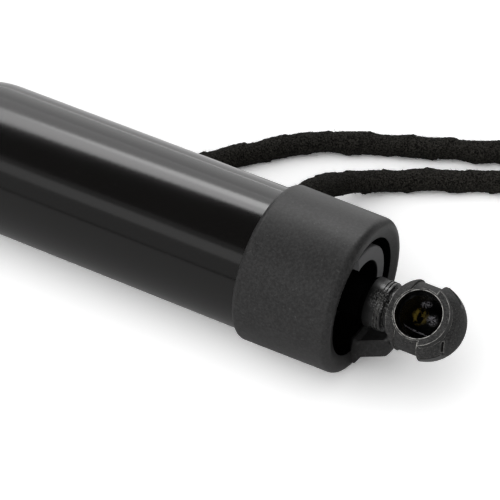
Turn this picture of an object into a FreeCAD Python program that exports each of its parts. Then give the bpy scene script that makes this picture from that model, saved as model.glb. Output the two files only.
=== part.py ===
import FreeCAD, Part
import math
import os

# A power-driven tailgate strut, pulled in, lying level on its two end caps.
# Lengths are in millimetres and angles in degrees. The origin is the ball seat of the housing's socket,
# X runs along the strut towards the push tube, and Z is up.
# Angles around the strut are counted from +Y towards +Z.

# Housing tube, one swaged steel tube
tube_d = 36.3
tube_wall = 1.5
slim_d = 30.0
motor_section = 78.2
swage_angle = 12.0
swage_rounding = 25.0

# End cap and the matching cap at the mouth
cap_front_wall = 1.5
cap_rear_wall = 1.75
cap_length = 26.6
cap_face = 3.5
cap_lip = 3.3
cap_dish = 1.6
cap_front_rounding = 2.0
cap_rear_rounding = 1.6
cap_opening_rounding = 0.4
mouth_cap_length = 16.0
mouth_cap_face = 3.0

# Tongue of the end cap under the neck
tongue_length = 8.1
tongue_root = 2.0
tongue_half_angle = 20.0
tongue_root_drop = 0.4
tongue_root_thickness = 6.3
tongue_waist_drop = 2.55
tongue_waist_length = 0.9
tongue_tip_drop = 5.65
tongue_tip_thickness = 4.6
tongue_rounding = 1.8

# Ball sockets, for a 10 mm ball stud
ball_seat_d = 10.4
ball_to_cap = 15.7
socket_roll = 36.0
lip_height = 8.75
lip_d = 15.0
lip_chamfer = 0.15
mouth_gap = 0.45
mouth_depth = 3.2
lip_start = 2.5
boss_d = 12.6
barrel_d = 17.0
barrel_length = 4.5
barrel_top = 8.5
barrel_rounding = 0.3
flange_d = 18.0
flange_end = 7.7
flange_back_r = 14.0
flange_rounding = 0.4
dome_r = 9.5
dome_start = 1.7
neck_d = 12.4
neck_front_d = 10.4
neck_gap_d = 10.0
neck_gap_start = 8.2
neck_gap_width = 1.3
neck_taper_start = 14.3
neck_taper_length = 1.5
neck_ring_d = 11.6
neck_ring_width = 0.4
neck_ring_start = 10.1
neck_ring_pitch = 0.8
neck_rounding = 0.3
neck_rings = 2
rod_neck_length = 20.0
stud_d = 8.0
stud_length = 13.0

# Spring clip round each socket's dome
clip_thickness = 0.8
clip_start = 2.4
clip_width = 4.4
clip_arm = 2.2
clip_gap = 0.1
clip_slit = 0.5
clip_travel = 2.0
window_start = 26.0
window_sweep = 30.0
window_depth = 0.9
peg_d = 1.4
peg_height = 1.2
peg_reach = 3.8

# Plug that closes the housing behind the end cap
segment_recess = 2.1
segment_gap = 2.15
segment_width = 3.8
segment_middle = 141.5
segment_half_angle = 58.0
segment_rounding = 0.4
plug_start = 9.9
plug_length = 13.0
plug_hub_gap = 1.3
plug_hub_length = 3.0
plug_rounding = 0.8
isolator_length = 2.5
isolator_bore = 12.0

# Clearances, and how far a cut reaches past the piece it is made in
slip_gap = 0.3
fit_gap = 0.05
running_gap = 0.03
cut_over = 1.0

# Motor
motor_length = 54.0
can_wall = 1.6
can_rounding = 1.2
magnet_length = 31.0
magnet_thickness = 2.8
magnet_half_angle = 68.0
air_gap = 0.5
armature_length = 25.0
armature_slots = 7
slot_depth = 4.6
slot_width = 3.2
slot_cover = 1.0
slot_mouth = 1.2
shaft_d = 4.0
bush_d = 9.0
bush_length = 3.0
holder_offset = 4.5
holder_thickness = 3.0
board_thickness = 1.2
board_post = 1.6
board_post_d = 3.0
board_post_inset = 3.5
board_bore = 10.0
board_inset = 1.0
chip_size = 3.0
chip_thickness = 1.0
chip_inset = 0.5
sensor_magnet_d = 8.0
sensor_magnet_length = 2.5
commutator_d = 8.4
commutator_length = 6.5
commutator_bars = 7
bar_gap = 0.4
bar_gap_depth = 0.5
brush_width = 4.0
brush_length = 5.0
brush_height = 3.5
brush_stand = 0.5
brush_play = 0.1
brush_guide_wall = 1.2
brush_guide_clearance = 1.5
brush_guide_end_gap = 2.0
winding_reach = 3.0
winding_rounding = 1.0

# Planetary gear
ring_gear_wall = 2.0
sun_teeth = 12
planet_teeth = 15
ring_teeth = 42
planet_count = 3
gear_width = 11.0
gearbox_length = 16.0
gear_plate = 2.0
addendum = 0.9
dedendum = 1.15
tip_share = 0.20
pitch_share = 0.42
planet_pin_d = 2.6
carrier_disc = 3.0
carrier_gap = 1.2
carrier_rim = 1.5
carrier_hub_d = 13.0
carrier_hub_length = 4.5

# Spindle drive
spindle_d = 10.0
spindle_stub_d = 7.0
bearing_width = 8.0
bearing_carrier_taper = 0.6
spindle_clearance = 1.0
bearing_carrier_wall = 2.5
race_wall = 2.1
bearing_ball_d = 2.6
bearing_balls_count = 9
spring_seat_thickness = 1.5
spring_wire_d = 2.6
spring_turns = 18
spring_length = 64.0
spring_side_gap = 0.6
nut_flange = 3.0
nut_length = 26.0
tip_bush_length = 5.0
end_play = 2.5
stroke = 190.0

# Push tube and mouth
push_tube_d = 20.0
push_tube_wall = 1.5
guide_length = 15.0
wiper_length = 2.0
wiper_lip = 0.5
wiper_flare = 1.0
rod_plug_length = 12.0
rod_plug_flange = 3.0
push_tube_showing = 22.0

# Cable with its grommet and connector
cable_d = 5.8
bend_share = 0.45
grommet_x = 50.0
grommet_drop = 12.0
grommet_d = 8.0
grommet_flange_d = 11.2
grommet_flange = 1.5
boot_length = 8.0
boot_root_d = 9.2
boot_tip_d = 7.8
connector_length = 24.0
connector_width = 14.0
connector_height = 11.0
connector_rounding = 1.2
terminal_pitch = 4.0
terminal_hole = 2.0
terminal_depth = 8.0
lock_thickness = 1.2
lock_length = 3.6
lock_width = 8.4
lock_setback = 1.0
latch_length = 14.0
latch_width = 5.0
latch_height = 1.6
latch_setback = 3.0
hook_length = 2.5
hook_setback = 2.5
hook_rise = 1.1

# Radii and places along the strut that follow from the sizes above
tube_r = tube_d / 2
bore_r = tube_r - tube_wall
slim_r = slim_d / 2
slim_bore_r = slim_r - tube_wall
cap_front_r = tube_r + cap_front_wall
cap_rear_r = tube_r + cap_rear_wall
cap_opening_r = tube_r - cap_lip
segment_outer_r = cap_opening_r - segment_gap
segment_inner_r = segment_outer_r - segment_width
plug_hub_r = segment_inner_r - plug_hub_gap
floor_z = -cap_rear_r
cap_front_x = ball_to_cap
cap_rear_x = cap_front_x + cap_length
tube_start_x = cap_front_x + cap_face
plug_x = cap_front_x + plug_start
isolator_x = plug_x + plug_length
motor_x = isolator_x + isolator_length
motor_end_x = motor_x + motor_length
swage_tangent = swage_rounding * math.tan(math.radians(swage_angle / 2))
swage_x = cap_rear_x + motor_section + swage_tangent
slim_x = swage_x + (tube_r - slim_r) / math.tan(math.radians(swage_angle))
gear_x = motor_end_x + gear_plate
gearbox_end_x = gear_x + gearbox_length
bearing_x = slim_x + swage_tangent + slip_gap
spring_seat_x = bearing_x + bearing_width
spring_x = spring_seat_x + spring_seat_thickness
flange_x = spring_x + spring_length
nut_end_x = flange_x + nut_length
guide_x = flange_x + nut_flange + stroke + end_play
tube_end_x = guide_x + guide_length + wiper_length
mouth_x = tube_end_x + mouth_cap_face
spindle_end_x = nut_end_x + stroke + end_play
rod_plug_x = spindle_end_x + tip_bush_length + end_play
push_tube_end_x = max(rod_plug_x + rod_plug_length, mouth_x + push_tube_showing)
rod_ball_x = push_tube_end_x + rod_plug_flange + rod_neck_length
can_r = bore_r - slip_gap
push_r = push_tube_d / 2
push_bore_r = push_r - push_tube_wall
gear_module = (can_r - ring_gear_wall) / (ring_teeth / 2 + dedendum)
planet_centre_r = gear_module * (sun_teeth + planet_teeth) / 2
race_outer_r = slim_bore_r - bearing_carrier_wall
race_gap_outer_r = race_outer_r - race_wall
race_gap_inner_r = spindle_d / 2 + race_wall

# The cable's middle line, chosen along what the cable does in use: it leaves the grommet,
# crosses the floor, turns back and runs on behind the housing to its connector.
cable_z = floor_z + cable_d / 2
cable_points = [
    (50.0, -36.0, -7.652),
    (44.0, -52.5, cable_z),
    (26.5, -63.0, cable_z),
    (2.5, -75.2, cable_z),
    (-17.6, -63.9, cable_z),
    (-39.1, -75.1, cable_z),
    (-41.3, -99.2, cable_z),
    (-22.5, -114.3, cable_z),
    (0.5, -106.6, cable_z),
    (6.4, -84.4, cable_z),
    (26.5, -76.0, cable_z),
    (45.0, -68.0, cable_z),
    (64.0, -59.5, cable_z),
    (77.0, -45.0, cable_z),
    (92.0, -29.0, cable_z),
    (112.0, -23.0, cable_z),
    (133.0, -24.0, cable_z),
    (153.0, -24.0, cable_z),
]


def vec(x, y, z):
    return FreeCAD.Vector(x, y, z)


AXIS = vec(1, 0, 0)
CENTRE = vec(0, 0, 0)


def outline(corners):
    """A closed wire in the XY plane through corners given as (x, y) or (x, y, rounding)."""
    ends = []
    count = len(corners)
    for i in range(count):
        here = vec(corners[i][0], corners[i][1], 0)
        rounding = corners[i][2] if len(corners[i]) > 2 else 0.0
        if rounding == 0.0:
            ends.append((here, None, here))
            continue
        back = vec(*corners[i - 1][:2], 0).sub(here).normalize()
        ahead = vec(*corners[(i + 1) % count][:2], 0).sub(here).normalize()
        half = back.getAngle(ahead) / 2
        reach = rounding / math.tan(half)
        bisector = back.add(ahead).normalize()
        middle = here.add(bisector.multiply(rounding / math.sin(half) - rounding))
        ends.append((here.add(back.multiply(reach)), middle, here.add(ahead.multiply(reach))))
    edges = []
    for i in range(count):
        start, middle, end = ends[i]
        if middle is not None:
            edges.append(Part.Arc(start, middle, end).toShape())
        following = ends[(i + 1) % count][0]
        if end.distanceToPoint(following) > 1e-6:
            edges.append(Part.LineSegment(end, following).toShape())
    return Part.Wire(edges)


def turned(corners, sweep=360, start=0):
    """A solid turned about the strut's axis from corners given as (x, radius) or with a rounding."""
    face = Part.Face(outline(corners))
    face.rotate(CENTRE, AXIS, start)
    return face.revolve(CENTRE, AXIS, sweep)


def ring(x_start, x_end, outer_r, inner_r):
    return turned([(x_start, inner_r), (x_end, inner_r), (x_end, outer_r), (x_start, outer_r)])


def rod(x_start, x_end, radius):
    return Part.makeCylinder(radius, x_end - x_start, vec(x_start, 0, 0), AXIS)


def around(shape, count, start=0):
    """Copies of a shape spaced evenly around the strut."""
    copies = []
    for i in range(count):
        copy = shape.copy()
        copy.rotate(CENTRE, AXIS, start + 360.0 * i / count)
        copies.append(copy)
    return copies


def biarc(start, start_way, end, end_way):
    """Two tangent arcs from one point and direction to another."""
    across = end.sub(start)
    ways = start_way.add(end_way)
    lead = across.dot(ways)
    spread = 2 * (1 - start_way.dot(end_way))
    reach = (math.sqrt(lead * lead + spread * across.dot(across)) - lead) / spread
    first = start.add(vec(*start_way).multiply(reach))
    second = end.sub(vec(*end_way).multiply(reach))
    joint = first.add(second).multiply(0.5)
    edges = []
    for point, way, far in ((start, start_way, joint), (end, end_way.negative(), joint)):
        chord = far.sub(point)
        half = way.getAngle(chord) / 2
        line = vec(*chord).normalize()
        bulge = way.sub(vec(*line).multiply(way.dot(line))).normalize()
        height = chord.Length / 2 * math.tan(half)
        middle = point.add(vec(*chord).multiply(0.5)).add(bulge.multiply(height))
        edges.append(Part.Arc(point, middle, far).toShape())
    return edges


def piped(edges, radius):
    """A round bar that follows a chain of tangent edges."""
    path = Part.Wire(Part.__sortEdges__(edges))
    first = path.OrderedEdges[0]
    way = first.tangentAt(first.FirstParameter)
    where = first.valueAt(first.FirstParameter)
    if path.OrderedVertexes[0].Point.distanceToPoint(where) > 1e-6:
        where = first.valueAt(first.LastParameter)
        way = first.tangentAt(first.LastParameter).negative()
    section = Part.Wire(Part.makeCircle(radius, where, way))
    return path.makePipeShell([section], True, False)


def swaged(x_start, x_end, wall_off):
    """Corners of the housing's outer line, moved inwards by wall_off."""
    shift = wall_off * math.tan(math.radians(swage_angle / 2))
    return [
        (x_start, tube_r - wall_off),
        (swage_x - shift, tube_r - wall_off, swage_rounding - wall_off),
        (slim_x - shift, slim_r - wall_off, swage_rounding + wall_off),
        (x_end, slim_r - wall_off),
    ]


def grommet_way():
    drop = math.radians(grommet_drop)
    return vec(0, -math.cos(drop), -math.sin(drop))


def grommet_bar(radius, near, far):
    """A round bar along the grommet's axis, from one distance off the strut's axis to another."""
    way = grommet_way()
    base = vec(grommet_x, 0, 0).add(vec(*way).multiply(near))
    return Part.makeCylinder(radius, far - near, base, way)


def housing_tube():
    outside = swaged(tube_start_x, tube_end_x, 0)
    inside = swaged(tube_start_x, tube_end_x, tube_wall)
    shell = turned(outside + list(reversed(inside)))
    return shell.cut(grommet_bar(grommet_d / 2, bore_r - tube_wall, tube_r + tube_wall))


def cap_tongue():
    root_x = cap_front_x + tongue_root
    tip_x = cap_front_x - tongue_length
    root_r = tube_r - tongue_root_drop
    tip_r = tube_r - tongue_tip_drop
    corners = [
        (root_x, root_r - tongue_root_thickness),
        (cap_front_x, root_r - tongue_root_thickness),
        (tip_x, tip_r - tongue_tip_thickness, tongue_rounding),
        (tip_x, tip_r, tongue_rounding),
        (cap_front_x - tongue_waist_length, tube_r - tongue_waist_drop, tongue_rounding),
        (cap_front_x, root_r),
        (root_x, root_r),
    ]
    return turned(corners, 2 * tongue_half_angle, -90 - tongue_half_angle)


def end_cap():
    corners = [
        (cap_front_x + cap_dish, cap_opening_r, cap_opening_rounding),
        (cap_front_x, cap_front_r, cap_front_rounding),
        (cap_rear_x, cap_rear_r, cap_rear_rounding),
        (cap_rear_x, tube_r),
        (tube_start_x, tube_r),
        (tube_start_x, cap_opening_r),
    ]
    return turned(corners).fuse(cap_tongue()).removeSplitter()


def retaining_segment():
    corners = [
        (cap_front_x + segment_recess, segment_inner_r, segment_rounding),
        (plug_x, segment_inner_r),
        (plug_x, segment_outer_r),
        (cap_front_x + segment_recess, segment_outer_r, segment_rounding),
    ]
    return turned(corners, 2 * segment_half_angle, segment_middle - segment_half_angle)


def end_plug():
    corners = [
        (plug_x - plug_hub_length, stud_d / 2),
        (plug_x - plug_hub_length, plug_hub_r, plug_rounding),
        (plug_x, plug_hub_r),
        (plug_x, bore_r - fit_gap, plug_rounding),
        (isolator_x, bore_r - fit_gap),
        (isolator_x, stud_d / 2),
    ]
    return turned(corners)


def isolator_ring():
    return ring(isolator_x, motor_x, can_r, isolator_bore / 2)


def dome_shell(near_r, far_r, x_start, x_end):
    """Section of the dome's skin between two sphere radii, in the XY plane."""

    def on(sphere_r, x):
        return vec(x, math.sqrt(sphere_r * sphere_r - x * x), 0)

    middle_x = (x_start + x_end) / 2
    edges = []
    edges.append(Part.Arc(on(near_r, x_start), on(near_r, middle_x), on(near_r, x_end)).toShape())
    edges.append(Part.LineSegment(on(near_r, x_end), on(far_r, x_end)).toShape())
    edges.append(Part.Arc(on(far_r, x_end), on(far_r, middle_x), on(far_r, x_start)).toShape())
    edges.append(Part.LineSegment(on(far_r, x_start), on(near_r, x_start)).toShape())
    return Part.Face(Part.Wire(edges))


def clip_band(section, arm):
    """A band that goes under the dome from side to side, with straight arms up both sides."""
    lower = section.copy()
    lower.rotate(CENTRE, AXIS, 180)
    band = lower.revolve(CENTRE, AXIS, 180)
    right = section.extrude(vec(0, 0, arm))
    left = lower.extrude(vec(0, 0, arm))
    return band.fuse(right).fuse(left).removeSplitter()


def clip_peg(radius, reach, low, high):
    """A peg along Y on both sides, or the slot for it, between two heights."""
    x = -clip_start - clip_width / 2
    side = math.sqrt(dome_r * dome_r - x * x) - clip_thickness / 2
    pegs = []
    for way in (-1, 1):
        base = vec(x, way * reach, low)
        peg = Part.makeCylinder(radius, side - reach, base, vec(0, way, 0))
        if high > low:
            top = peg.copy()
            top.translate(vec(0, 0, high - low))
            y = min(way * reach, way * side)
            filling = Part.makeBox(2 * radius, side - reach, high - low, vec(x - radius, y, low))
            peg = peg.fuse(top).fuse(filling)
        pegs.append(peg)
    return pegs


def socket_clip():
    """The spring clip in the socket's own frame, with the opening upwards."""
    start_x = -clip_start - clip_width
    section = dome_shell(dome_r - clip_thickness, dome_r, start_x, -clip_start)
    clip = clip_band(section, clip_arm)
    for peg in clip_peg(peg_d / 2, peg_reach, peg_height, peg_height):
        clip = clip.fuse(peg)
    return clip.removeSplitter()


def clip_window():
    """The short slot beside the clip, where a tool lifts it."""
    start_x = -clip_start - clip_width - clip_slit
    section = dome_shell(dome_r - window_depth, dome_r + cut_over, start_x, -clip_start - clip_width)
    section.rotate(CENTRE, AXIS, window_start)
    return section.revolve(CENTRE, AXIS, window_sweep)


def socket_barrel():
    """The turned barrel across the ball seat, with the flange that faces the neck."""
    barrel = turned(
        [
            (-dome_start, 0),
            (-dome_start, barrel_d / 2),
            (barrel_length, barrel_d / 2),
            (barrel_length, flange_d / 2, barrel_rounding),
            (flange_end, flange_d / 2, flange_rounding),
            (flange_end, 0),
        ]
    )
    back_axis = vec(flange_end - flange_back_r, 0, -flange_d)
    back = Part.makeCylinder(flange_back_r, 2 * flange_d, back_axis, vec(0, 0, 1))
    above = Part.makeBox(4 * flange_d, 2 * flange_d, flange_d, vec(-2 * flange_d, -flange_d, barrel_top))
    return barrel.common(back).cut(above)


def socket_head():
    """The head in its own frame: the opening looks up and the neck leaves along +X."""
    deep = dome_r * 2
    front = Part.makeBox(deep, deep * 2, deep * 2, vec(-deep - dome_start, -deep, -deep))
    dome = Part.makeSphere(dome_r).common(front)
    boss = Part.makeCylinder(boss_d / 2, lip_height, CENTRE, vec(0, 0, 1))
    lip = Part.makeCylinder(lip_d / 2, lip_height, CENTRE, vec(0, 0, 1))
    lip = lip.common(Part.makeBox(deep, deep * 2, deep * 2, vec(-deep - lip_start, -deep, -deep)))
    head = socket_barrel().fuse(dome).fuse(boss).fuse(lip)
    slot_start = -clip_start - clip_width - clip_slit
    groove_r = dome_r - clip_thickness - clip_gap
    groove = dome_shell(groove_r, dome_r + cut_over, slot_start, -clip_start + clip_gap)
    return head.cut(clip_band(groove, clip_arm + clip_gap * 2)).cut(clip_window())


def socket_neck(shoulder_x):
    """The neck and its stud, turned about the strut's axis."""
    gap_end = neck_gap_start + neck_gap_width
    taper_end = neck_taper_start + neck_taper_length
    corners = [
        (0, 0),
        (0, neck_d / 2),
        (neck_gap_start, neck_d / 2, neck_rounding),
        (neck_gap_start, neck_gap_d / 2),
        (gap_end, neck_gap_d / 2),
        (gap_end, neck_d / 2, neck_rounding),
        (neck_taper_start, neck_d / 2, neck_rounding),
        (taper_end, neck_front_d / 2, neck_rounding),
        (shoulder_x, neck_front_d / 2),
        (shoulder_x, stud_d / 2),
        (shoulder_x + stud_length, stud_d / 2, plug_rounding),
        (shoulder_x + stud_length, 0),
    ]
    neck = turned(corners)
    for i in range(neck_rings):
        x = neck_ring_start + i * neck_ring_pitch
        neck = neck.cut(ring(x, x + neck_ring_width, neck_d / 2 + cut_over, neck_ring_d / 2))
    return neck


def ball_socket(shoulder_x):
    seat_r = ball_seat_d / 2
    mouth = lip_height - lip_chamfer
    solid = socket_head().fuse(socket_neck(shoulder_x)).removeSplitter()
    cavity = Part.makeSphere(seat_r)
    cavity = cavity.fuse(Part.makeCylinder(seat_r, lip_height + cut_over, CENTRE, vec(0, 0, 1)))
    mouth_r = seat_r + mouth_gap
    step = vec(0, 0, lip_height - mouth_depth)
    wider = Part.makeCylinder(mouth_r, mouth_depth + cut_over, step, vec(0, 0, 1))
    flare = lip_chamfer * 2
    chamfer = Part.makeCone(mouth_r, mouth_r + flare, flare, vec(0, 0, mouth), vec(0, 0, 1))
    solid = solid.cut(cavity).cut(wider).cut(chamfer)
    slot_low = peg_height - clip_travel - clip_gap
    for slot in clip_peg(peg_d / 2 + clip_gap, peg_reach - clip_gap, slot_low, peg_height):
        solid = solid.cut(slot)
    return solid


def on_housing(shape):
    """Turns a piece of a socket from its own frame to the housing's end."""
    shape.rotate(CENTRE, AXIS, -socket_roll)
    return shape


def on_rod(shape):
    """Turns a piece of a socket from its own frame to the push tube's end."""
    shape.rotate(CENTRE, vec(0, 0, 1), 180)
    shape.rotate(CENTRE, AXIS, -socket_roll)
    shape.translate(vec(rod_ball_x, 0, 0))
    return shape


def motor_can():
    wall = can_wall
    corners = [
        (motor_x, can_r),
        (motor_end_x, can_r, can_rounding),
        (motor_end_x, bush_d / 2),
        (motor_end_x - wall, bush_d / 2),
        (motor_end_x - wall, can_r - wall),
        (motor_x, can_r - wall),
    ]
    return turned(corners)


def holder_x():
    return motor_x + holder_offset


def commutator_x():
    return holder_x() + holder_thickness + slip_gap


def winding_x():
    return commutator_x() + commutator_length


def armature_x():
    return winding_x() + winding_reach


def brush_holder():
    x = holder_x()
    front = x + holder_thickness
    plate = ring(x, front, can_r - can_wall, bush_d / 2)
    post_base = vec(x - board_post, 0, can_r - can_wall - board_post_inset)
    post = Part.makeCylinder(board_post_d / 2, board_post, post_base, AXIS)
    start = commutator_d / 2 + brush_guide_clearance
    reach = can_r - can_wall - brush_guide_end_gap - start
    tall = brush_height + 2 * brush_guide_wall
    long = brush_width + 2 * brush_stand
    block = Part.makeBox(long, reach, tall, vec(front, start, -tall / 2))
    way_tall = brush_height + 2 * brush_play
    way_long = brush_width + 2 * brush_play
    way_corner = vec(front + brush_stand - brush_play, start - cut_over, -way_tall / 2)
    brush_way = Part.makeBox(way_long, reach + 2 * cut_over, way_tall, way_corner)
    guide = block.cut(brush_way)
    for piece in around(post, 3) + around(guide, 2):
        plate = plate.fuse(piece)
    return plate.removeSplitter()


def motor_brushes():
    x = holder_x() + holder_thickness + brush_stand
    start = commutator_d / 2 + fit_gap
    block = Part.makeBox(brush_width, brush_length, brush_height, vec(x, start, -brush_height / 2))
    return Part.makeCompound(around(block, 2))


def board_x():
    return holder_x() - board_post - board_thickness


def sensor_board():
    x = board_x()
    board = ring(x, x + board_thickness, can_r - can_wall - board_inset, board_bore / 2)
    chip_corner = vec(x - chip_thickness, board_bore / 2 + chip_inset, -chip_size / 2)
    chip = Part.makeBox(chip_thickness, chip_size, chip_size, chip_corner)
    return board.fuse(chip).removeSplitter()


def motor_bush(x):
    return ring(x, x + bush_length, bush_d / 2, shaft_d / 2 + running_gap)


def rear_motor_bush():
    return motor_bush(holder_x())


def front_motor_bush():
    return motor_bush(motor_end_x - bush_length)


def magnet_inner_r():
    return can_r - can_wall - magnet_thickness


def motor_magnets():
    x = armature_x() + armature_length / 2 - magnet_length / 2
    corners = [
        (x, magnet_inner_r()),
        (x + magnet_length, magnet_inner_r()),
        (x + magnet_length, can_r - can_wall),
        (x, can_r - can_wall),
    ]
    magnet = turned(corners, 2 * magnet_half_angle, 90 - magnet_half_angle)
    return Part.makeCompound(around(magnet, 2))


def armature_r():
    return magnet_inner_r() - air_gap


def slot_bars():
    low = armature_r() - slot_cover - slot_depth
    corner = vec(armature_x(), -slot_width / 2, low)
    bar = Part.makeBox(armature_length, slot_width, slot_depth, corner)
    return around(bar, armature_slots)


def armature_core():
    core = ring(armature_x(), armature_x() + armature_length, armature_r(), shaft_d / 2)
    corner = vec(armature_x(), -slot_mouth / 2, armature_r() - slot_cover * 1.5)
    mouth = Part.makeBox(armature_length, slot_mouth, slot_cover * 2, corner)
    for opening in slot_bars() + around(mouth, armature_slots):
        core = core.cut(opening)
    return core


def armature_windings():
    x = armature_x()
    end = x + armature_length
    outer = armature_r() - slot_cover
    inner = outer - slot_depth
    windings = None
    for face, tip in ((x, x - winding_reach), (end, end + winding_reach)):
        corners = [
            (tip, inner, winding_rounding),
            (face, inner),
            (face, outer),
            (tip, outer, winding_rounding),
        ]
        hank = turned(corners)
        windings = hank if windings is None else windings.fuse(hank)
    for bar in slot_bars():
        windings = windings.fuse(bar)
    return windings.removeSplitter()


def commutator():
    x = commutator_x()
    radius = commutator_d / 2
    body = ring(x, x + commutator_length, radius, shaft_d / 2)
    corner = vec(x, -bar_gap / 2, radius - bar_gap_depth)
    gap = Part.makeBox(commutator_length, bar_gap, bar_gap_depth + cut_over, corner)
    for cut in around(gap, commutator_bars):
        body = body.cut(cut)
    return body


def sensor_magnet():
    x = board_x()
    return ring(x, x + sensor_magnet_length, sensor_magnet_d / 2, shaft_d / 2)


def motor_shaft():
    return rod(board_x(), gear_x + slip_gap + gear_width, shaft_d / 2)


def tooth_corners(teeth, root, pitch, tip, phase):
    """Straight-sided teeth around a circle, as (y, z) points in order."""
    corners = []
    step = 360.0 / teeth
    root_share = 2 * pitch_share - tip_share
    for i in range(teeth):
        middle = phase + i * step
        for radius, share in ((root, -root_share), (tip, -tip_share), (tip, tip_share), (root, root_share)):
            angle = math.radians(middle + share * step / 2)
            corners.append((radius * math.cos(angle), radius * math.sin(angle)))
    return corners


def toothed_bar(x, length, corners):
    points = [vec(x, y, z) for y, z in corners]
    wire = Part.makePolygon(points + [points[0]])
    return Part.Face(wire).extrude(vec(length, 0, 0))


def spur_gear(teeth, x, length, bore, phase):
    pitch = gear_module * teeth / 2
    root = pitch - dedendum * gear_module
    tip = pitch + addendum * gear_module
    body = toothed_bar(x, length, tooth_corners(teeth, root, pitch, tip, phase))
    return body.cut(rod(x - cut_over, x + length + cut_over, bore))


def sun_gear():
    return spur_gear(sun_teeth, gear_x + slip_gap, gear_width, shaft_d / 2, 0)


def planet_gear(index):
    """One planet, with a tooth turned towards the ring where the ring has a gap."""
    place = 360.0 / planet_count * index
    pin_way = planet_pin_d / 2 + running_gap
    gear = spur_gear(planet_teeth, gear_x + slip_gap, gear_width, pin_way, 0)
    gear.translate(vec(0, planet_centre_r, 0))
    gear.rotate(CENTRE, AXIS, place)
    return gear


def ring_gear():
    pitch = gear_module * ring_teeth / 2
    root = pitch + dedendum * gear_module
    tip = pitch - addendum * gear_module
    step = 360.0 / ring_teeth
    corners = tooth_corners(ring_teeth, root, pitch, tip, step / 2)
    hollow = toothed_bar(gear_x - cut_over, gearbox_length + 2 * cut_over, corners)
    return rod(gear_x, gearbox_end_x, can_r).cut(hollow)


def gearbox_plate():
    return ring(motor_end_x, gear_x, can_r, bush_d / 2)


def carrier_x():
    return gear_x + slip_gap + gear_width + carrier_gap


def carrier_r():
    return planet_centre_r + planet_pin_d / 2 + carrier_rim


def spindle_shoulder_x():
    return carrier_x() + carrier_disc + carrier_hub_length


def planet_carrier():
    x = carrier_x()
    hub_x = x + carrier_disc
    disc = ring(x, hub_x, carrier_r(), spindle_stub_d / 2)
    disc = disc.fuse(ring(hub_x, spindle_shoulder_x(), carrier_hub_d / 2, spindle_stub_d / 2))
    pin_x = gear_x + slip_gap
    pin = Part.makeCylinder(planet_pin_d / 2, x - pin_x, vec(pin_x, planet_centre_r, 0), AXIS)
    for piece in around(pin, planet_count):
        disc = disc.fuse(piece)
    return disc.removeSplitter()


def bearing_carrier():
    seat_r = slim_bore_r - fit_gap
    cone_end = swage_x + (slim_x - swage_x) * bearing_carrier_taper
    cavity_r = carrier_r() + slip_gap
    cavity_end = spindle_shoulder_x() + slip_gap
    shaft_way = spindle_d / 2 + spindle_clearance
    corners = [
        (gearbox_end_x, cavity_r),
        (gearbox_end_x, can_r),
        (cap_rear_x + motor_section, can_r),
        (cone_end, seat_r),
        (spring_seat_x, seat_r),
        (spring_seat_x, race_outer_r),
        (bearing_x, race_outer_r),
        (bearing_x, shaft_way),
        (cavity_end, shaft_way),
        (cavity_end, cavity_r),
    ]
    return turned(corners)


def ball_groove():
    middle = (race_gap_outer_r + race_gap_inner_r) / 2
    torus = Part.makeTorus(middle, bearing_ball_d / 2 + fit_gap)
    torus.rotate(CENTRE, vec(0, 1, 0), 90)
    torus.translate(vec(bearing_x + bearing_width / 2, 0, 0))
    return torus


def bearing_outer_race():
    return ring(bearing_x, spring_seat_x, race_outer_r, race_gap_outer_r).cut(ball_groove())


def bearing_inner_race():
    return ring(bearing_x, spring_seat_x, race_gap_inner_r, spindle_d / 2).cut(ball_groove())


def bearing_balls():
    middle = (race_gap_outer_r + race_gap_inner_r) / 2
    ball = Part.makeSphere(bearing_ball_d / 2, vec(bearing_x + bearing_width / 2, 0, middle))
    return Part.makeCompound(around(ball, bearing_balls_count))


def spring_seat():
    return ring(spring_seat_x, spring_x, slim_bore_r - fit_gap, race_gap_outer_r)


def lift_spring():
    """An open wound compression spring, as one wire of half-turn biarcs."""
    wire_r = spring_wire_d / 2
    mean_r = slim_bore_r - spring_side_gap - wire_r
    run = spring_length - spring_wire_d - 2 * slip_gap
    rise = run / spring_turns
    slope = math.atan2(rise, 2 * math.pi * mean_r)
    start_x = spring_x + wire_r + slip_gap

    def point(turn):
        angle = 2 * math.pi * turn
        return vec(start_x + rise * turn, mean_r * math.cos(angle), mean_r * math.sin(angle))

    def way(turn):
        angle = 2 * math.pi * turn
        level = math.cos(slope)
        return vec(math.sin(slope), -level * math.sin(angle), level * math.cos(angle))

    edges = []
    halves = spring_turns * 2
    for i in range(halves):
        edges += biarc(point(i / 2), way(i / 2), point((i + 1) / 2), way((i + 1) / 2))
    steps = 24
    pitches = [point(i / steps).sub(point(i / steps + 1)).Length for i in range(steps)]
    least = min(pitches) - spring_wire_d
    print("least gap between the spring's turns:", round(least, 3))
    return piped(edges, wire_r)


def spindle():
    body = rod(spindle_shoulder_x(), spindle_end_x, spindle_d / 2)
    stub = rod(carrier_x(), spindle_shoulder_x(), spindle_stub_d / 2)
    tip = rod(spindle_end_x, spindle_end_x + tip_bush_length, spindle_stub_d / 2)
    return body.fuse(stub).fuse(tip).removeSplitter()


def spindle_tip_bush():
    return ring(spindle_end_x, spindle_end_x + tip_bush_length, push_bore_r - fit_gap, spindle_stub_d / 2)


def spindle_nut():
    bore = spindle_d / 2 + fit_gap
    corners = [
        (flange_x, bore),
        (flange_x, slim_bore_r - slip_gap),
        (flange_x + nut_flange, slim_bore_r - slip_gap),
        (flange_x + nut_flange, push_bore_r),
        (nut_end_x, push_bore_r, plug_rounding),
        (nut_end_x, bore),
    ]
    return turned(corners)


def push_tube():
    return ring(flange_x + nut_flange, push_tube_end_x, push_r, push_bore_r)


def guide_bush():
    return ring(guide_x, guide_x + guide_length, slim_bore_r, push_r + fit_gap)


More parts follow.
